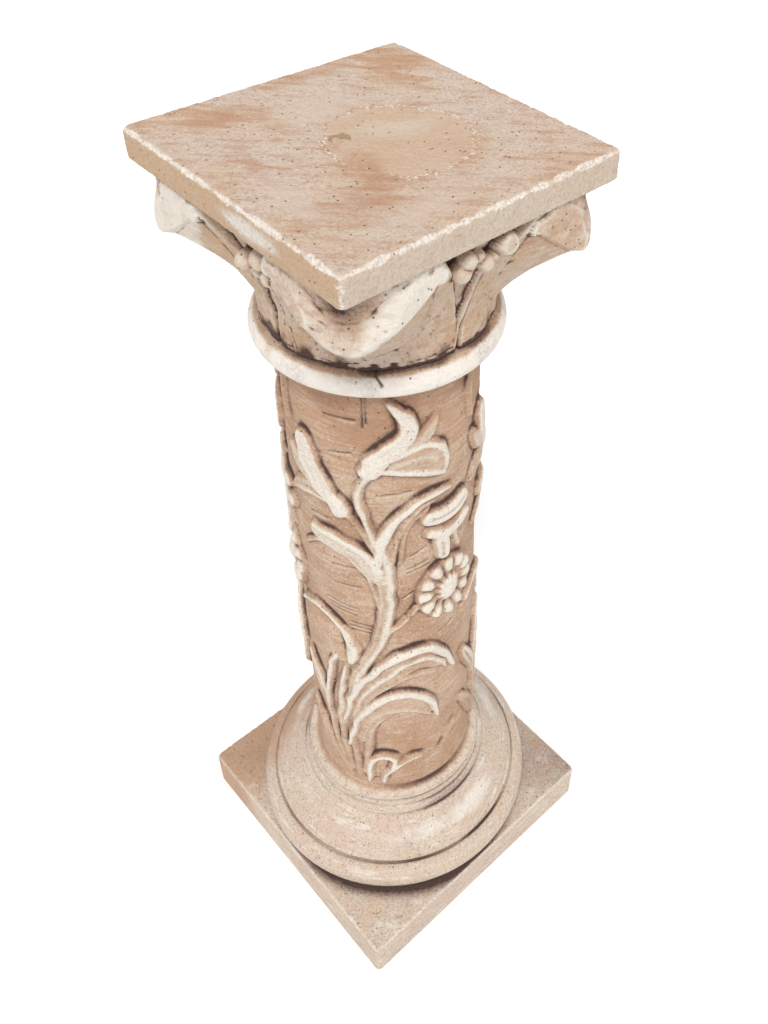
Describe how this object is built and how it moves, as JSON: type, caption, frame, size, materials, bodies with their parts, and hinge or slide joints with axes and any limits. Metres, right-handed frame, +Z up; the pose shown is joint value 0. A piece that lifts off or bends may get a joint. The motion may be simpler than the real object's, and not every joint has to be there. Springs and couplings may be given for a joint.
{
  "type": "pedestal column",
  "caption": "Cast-stone pedestal column: square moulded base, round shaft carved with stems, leaves and flowers, and a leafy capital under a square slab to stand a pot or figure on.",
  "frame": {"origin": "centre of the base's underside, on the ground", "axes": "+Z up along the column's axis, X and Y parallel to the sides of the base and of the top slab"},
  "size_m": [0.281, 0.281, 0.8],
  "materials": {
    "base_stone": "cast stone, cream with a pinkish-grey patina",
    "shaft_stone": "cast stone, tan ground with ivory relief and dark brown crevices",
    "capital_stone": "cast stone, beige wash with rust-brown stains and a whitish worn arris"
  },
  "bodies": {
    "root": {"base": "base_stone", "shaft": "shaft_stone", "capital": "capital_stone"}
  },
  "joints": []
}
